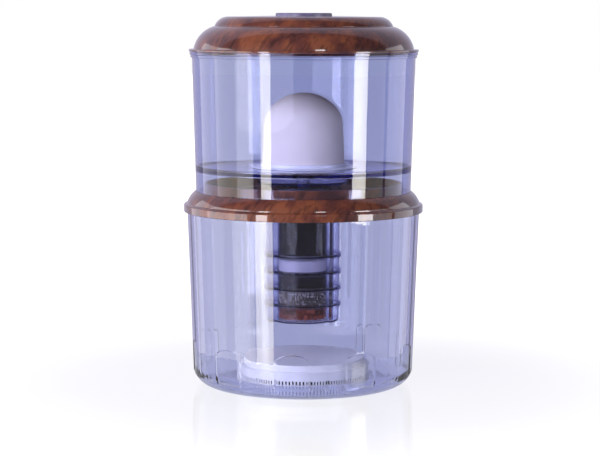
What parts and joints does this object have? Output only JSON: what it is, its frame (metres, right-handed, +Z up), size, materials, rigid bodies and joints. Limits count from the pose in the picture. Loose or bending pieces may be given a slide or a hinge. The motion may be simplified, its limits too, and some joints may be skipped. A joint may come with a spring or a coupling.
{
  "type": "water purifier pot",
  "caption": "Two-tier clear gravity water purifier with ceramic dome, staged cartridge, faceted lower tank and a base outlet.",
  "frame": {"origin": "centre of the flat base", "axes": "+Z up along the pot's axis, -Y to the front"},
  "size_m": [0.2904, 0.2904, 0.4505],
  "materials": {
    "tank_plastic": "clear, polished, blue tint",
    "wood_look_plastic": "gloss, dark walnut grain",
    "medallion_plastic": "gloss",
    "dome_ceramic": "unglazed, matt",
    "base_plastic": "satin",
    "silicone": "matt",
    "cup_plastic": "clear, polished",
    "felt": "matt",
    "carbon": "granular, matt",
    "silica": "granular, matt",
    "mineral_sand": "round beads, satin",
    "mineral_balls": "fired balls, matt",
    "box_plastic": "translucent",
    "stones": "pebbles, matt",
    "valve_plastic": "satin",
    "spring_steel": "drawn wire"
  },
  "bodies": {
    "lower_tank": {"lower_tank": "tank_plastic", "outlet_body": "valve_plastic", "outlet_gasket": "silicone", "outlet_nut": "valve_plastic", "outlet_cage": "valve_plastic", "outlet_spring": "spring_steel"},
    "outlet_poppet": {"outlet_poppet": "valve_plastic", "poppet_seal": "silicone"},
    "mineral_box": {"mineral_box_base": "box_plastic", "mineral_stones": "stones"},
    "mineral_box_lid": {"mineral_box_lid": "box_plastic"},
    "divider_ring": {"divider_ring": "wood_look_plastic"},
    "upper_tank": {"upper_tank": "tank_plastic", "ceramic_dome": "dome_ceramic", "dome_base": "base_plastic", "dome_gasket": "silicone", "stem_washer": "silicone", "stem_nut": "base_plastic"},
    "lid": {"lid": "wood_look_plastic", "lid_medallion": "medallion_plastic"},
    "cartridge_seal": {"cartridge_seal": "silicone"},
    "cartridge": {"cartridge_cap": "cup_plastic", "prefilter_pad": "felt", "stage_cup_1": "cup_plastic", "stage_cup_2": "cup_plastic", "stage_cup_3": "cup_plastic", "stage_cup_4": "cup_plastic", "stage_cup_5": "cup_plastic", "carbon_bed_1": "carbon", "silica_bed": "silica", "carbon_bed_2": "carbon", "mineral_sand_bed": "mineral_sand", "mineral_ball_bed": "mineral_balls"}
  },
  "joints": [
    {"name": "ring_lift", "type": "slide", "parent": "lower_tank", "child": "divider_ring", "axis": [0, 0, 1], "range_m": [0, 0.04]},
    {"name": "upper_tank_lift", "type": "slide", "parent": "divider_ring", "child": "upper_tank", "axis": [0, 0, 1], "range_m": [0, 0.19]},
    {"name": "lid_lift", "type": "slide", "parent": "upper_tank", "child": "lid", "axis": [0, 0, 1], "range_m": [0, 0.06]},
    {"name": "cartridge_drop", "type": "slide", "parent": "upper_tank", "child": "cartridge_seal", "axis": [0, 0, -1], "range_m": [0, 0.008]},
    {"name": "cartridge_turn", "type": "hinge", "parent": "cartridge_seal", "child": "cartridge", "pos_m": [0, 0, 0.24], "axis": [0, 0, -1], "range_deg": [0, 720]},
    {"name": "mineral_box_lift", "type": "slide", "parent": "lower_tank", "child": "mineral_box", "axis": [0, 0, 1], "range_m": [0, 0.02]},
    {"name": "mineral_box_lid_lift", "type": "slide", "parent": "mineral_box", "child": "mineral_box_lid", "axis": [0, 0, 1], "range_m": [0, 0.012]},
    {"name": "outlet_poppet_lift", "type": "slide", "parent": "lower_tank", "child": "outlet_poppet", "axis": [0, 0, 1], "range_m": [0, 0.004], "stiffness_N_per_m": 300, "springref_m": -0.006, "deforming": ["outlet_spring"]}
  ],
  "couplings": [
    {"joint": "cartridge_drop", "follows": "cartridge_turn", "m_per_rad": 0.00063662}
  ]
}
